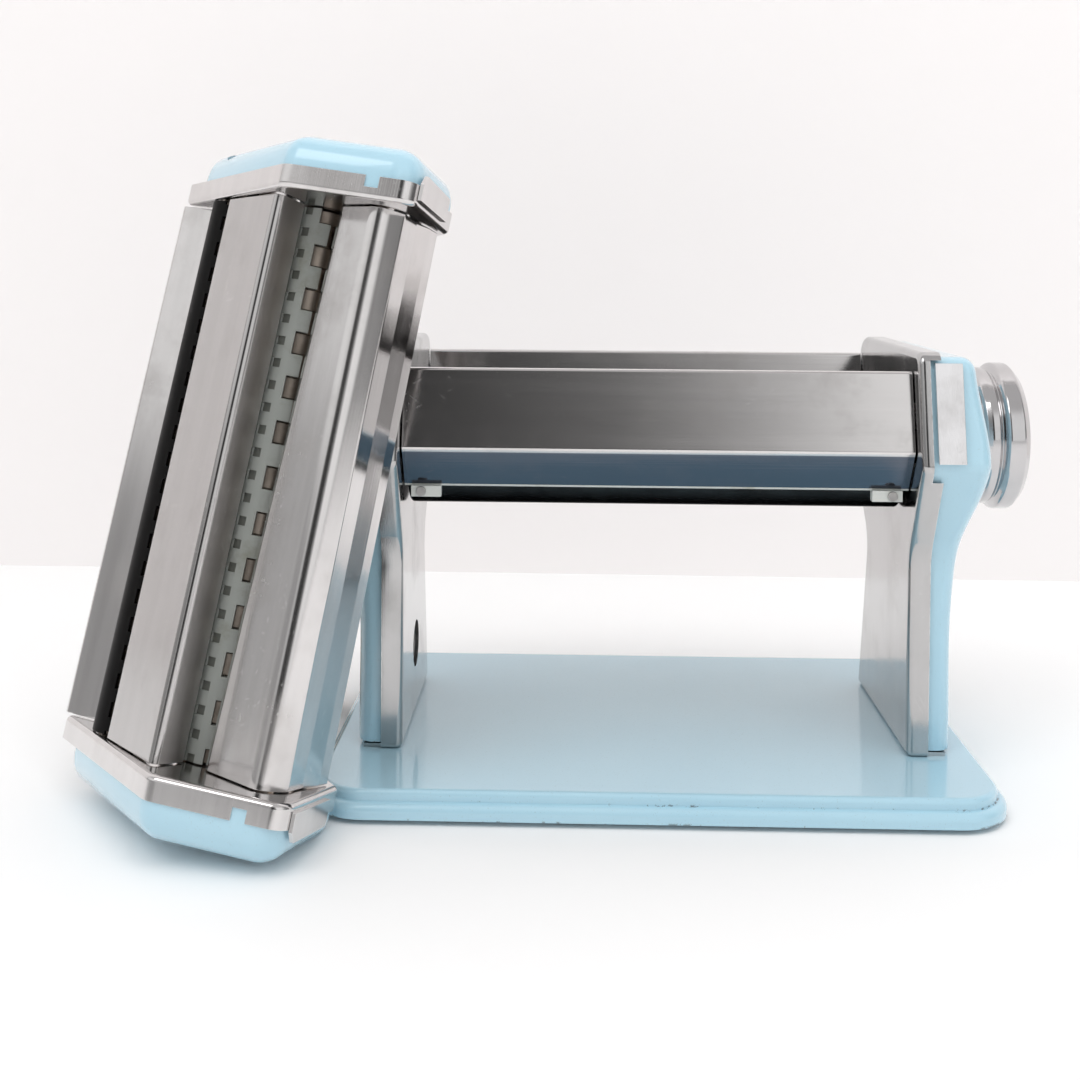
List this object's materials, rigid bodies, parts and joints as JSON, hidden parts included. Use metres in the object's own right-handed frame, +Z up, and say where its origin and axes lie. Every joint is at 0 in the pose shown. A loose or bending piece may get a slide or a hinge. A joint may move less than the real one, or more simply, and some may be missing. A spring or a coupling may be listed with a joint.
{
  "type": "hand cranked pasta machine with detached cutter head",
  "caption": "Hand cranked roller machine for dough sheets, with thickness knob, detached double cutter head and loose crank.",
  "frame": {"origin": "middle of the underside of the base, on the table", "axes": "+X along the rollers towards the thickness knob, +Y to the rear, +Z up"},
  "size_m": [0.3391, 0.2468, 0.189],
  "materials": {
    "polished_steel": "polished stainless steel sheet",
    "roller_steel": "fine ground hard steel",
    "machined_steel": "plain turned or sintered steel",
    "crank_chrome": "chrome plated steel",
    "blue_paint": "smooth satin light blue enamel",
    "knob_chrome": "turned and chrome plated metal",
    "white_plastic": "natural white moulded plastic",
    "black_rubber": "matt black rubber",
    "grip_wood": "oiled beech"
  },
  "bodies": {
    "machine": {"base_plate": "blue_paint", "base_pad": "black_rubber", "leg_screws": "machined_steel", "left_side_plate": "polished_steel", "right_side_plate": "polished_steel", "left_casing": "blue_paint", "right_casing": "blue_paint", "left_rail": "polished_steel", "right_rail": "polished_steel", "front_cover": "polished_steel", "rear_cover": "polished_steel", "tie_rods": "machined_steel", "front_scraper": "white_plastic", "rear_scraper": "white_plastic", "scraper_screws": "machined_steel", "front_bushes": "white_plastic", "adjuster_bush": "white_plastic", "clamp_bush": "machined_steel"},
    "front_roller_set": {"front_roller": "roller_steel", "front_roller_gear": "machined_steel"},
    "roller_carriage": {"left_bearing_block": "machined_steel", "right_bearing_block": "machined_steel"},
    "rear_roller_set": {"rear_roller": "roller_steel", "rear_roller_gear": "machined_steel"},
    "thickness_adjuster": {"adjuster_shaft": "machined_steel", "knob_nut": "machined_steel", "knob_spring": "machined_steel"},
    "knob_set": {"knob": "knob_chrome", "knob_cap": "knob_chrome"},
    "crank": {"crank_arm": "crank_chrome", "crank_shaft": "crank_chrome", "crank_cross_pin": "crank_chrome", "grip_pin": "crank_chrome"},
    "crank_handle": {"crank_grip": "grip_wood"},
    "cutter_head": {"cutter_top_plate": "polished_steel", "cutter_bottom_plate": "polished_steel", "cutter_top_casing": "blue_paint", "cutter_bottom_casing": "blue_paint", "cutter_front_lip": "polished_steel", "cutter_ridge_cover": "polished_steel", "cutter_rear_cover": "polished_steel", "cutter_tie_rods": "machined_steel", "cutter_bushes": "white_plastic", "wide_comb_left": "white_plastic", "wide_comb_right": "white_plastic", "narrow_comb_left": "white_plastic", "narrow_comb_right": "white_plastic"},
    "wide_drive_set": {"wide_cutter_drive": "roller_steel", "wide_drive_gear": "machined_steel"},
    "wide_idler_set": {"wide_cutter_idler": "roller_steel", "wide_idler_gear": "machined_steel"},
    "narrow_drive_set": {"narrow_cutter_drive": "roller_steel", "narrow_drive_gear": "machined_steel"},
    "narrow_idler_set": {"narrow_cutter_idler": "roller_steel", "narrow_idler_gear": "machined_steel"}
  },
  "joints": [
    {"name": "front_roller_turn", "type": "hinge", "parent": "machine", "child": "front_roller_set", "pos_m": [0, -0.0177, 0.0993], "axis": [1, 0, 0], "continuous": true},
    {"name": "gap_slide", "type": "slide", "parent": "machine", "child": "roller_carriage", "axis": [0, 1, 0], "range_m": [0, 0.0044]},
    {"name": "rear_roller_turn", "type": "hinge", "parent": "roller_carriage", "child": "rear_roller_set", "pos_m": [0, 0.0177, 0.0993], "axis": [1, 0, 0], "continuous": true},
    {"name": "thickness_turn", "type": "hinge", "parent": "machine", "child": "thickness_adjuster", "pos_m": [0.1, 0.0199, 0.0993], "axis": [-1, 0, 0], "range_deg": [0, 90]},
    {"name": "knob_pull", "type": "slide", "parent": "thickness_adjuster", "child": "knob_set", "axis": [1, 0, 0], "range_m": [0, 0.004], "stiffness_N_per_m": 3000, "springref_m": -0.002},
    {"name": "crank_lift", "type": "slide", "parent": "machine", "child": "crank", "axis": [0, 0, 1], "range_m": [0, 0.2]},
    {"name": "grip_spin", "type": "hinge", "parent": "crank", "child": "crank_handle", "pos_m": [-0.1385, 0.02404, 0.01205], "axis": [-1, 0, 0], "continuous": true},
    {"name": "head_lift", "type": "slide", "parent": "machine", "child": "cutter_head", "axis": [0, 0, 1], "range_m": [0, 0.16]},
    {"name": "wide_drive_turn", "type": "hinge", "parent": "cutter_head", "child": "wide_drive_set", "pos_m": [-0.09979, -0.05883, 0.09336], "axis": [0.168, 0.1969, 0.9659], "continuous": true},
    {"name": "wide_idler_turn", "type": "hinge", "parent": "cutter_head", "child": "wide_idler_set", "pos_m": [-0.11241, -0.05285, 0.09434], "axis": [0.168, 0.1969, 0.9659], "continuous": true},
    {"name": "narrow_drive_turn", "type": "hinge", "parent": "cutter_head", "child": "narrow_drive_set", "pos_m": [-0.14241, -0.04058, 0.09705], "axis": [0.168, 0.1969, 0.9659], "continuous": true},
    {"name": "narrow_idler_turn", "type": "hinge", "parent": "cutter_head", "child": "narrow_idler_set", "pos_m": [-0.13516, -0.04732, 0.09716], "axis": [0.168, 0.1969, 0.9659], "continuous": true}
  ],
  "couplings": [
    {"joint": "rear_roller_turn", "follows": "front_roller_turn", "ratio": -1},
    {"joint": "gap_slide", "follows": "thickness_turn", "m_per_rad": 0.0028011},
    {"joint": "wide_idler_turn", "follows": "wide_drive_turn", "ratio": -1},
    {"joint": "narrow_idler_turn", "follows": "narrow_drive_turn", "ratio": -1}
  ]
}
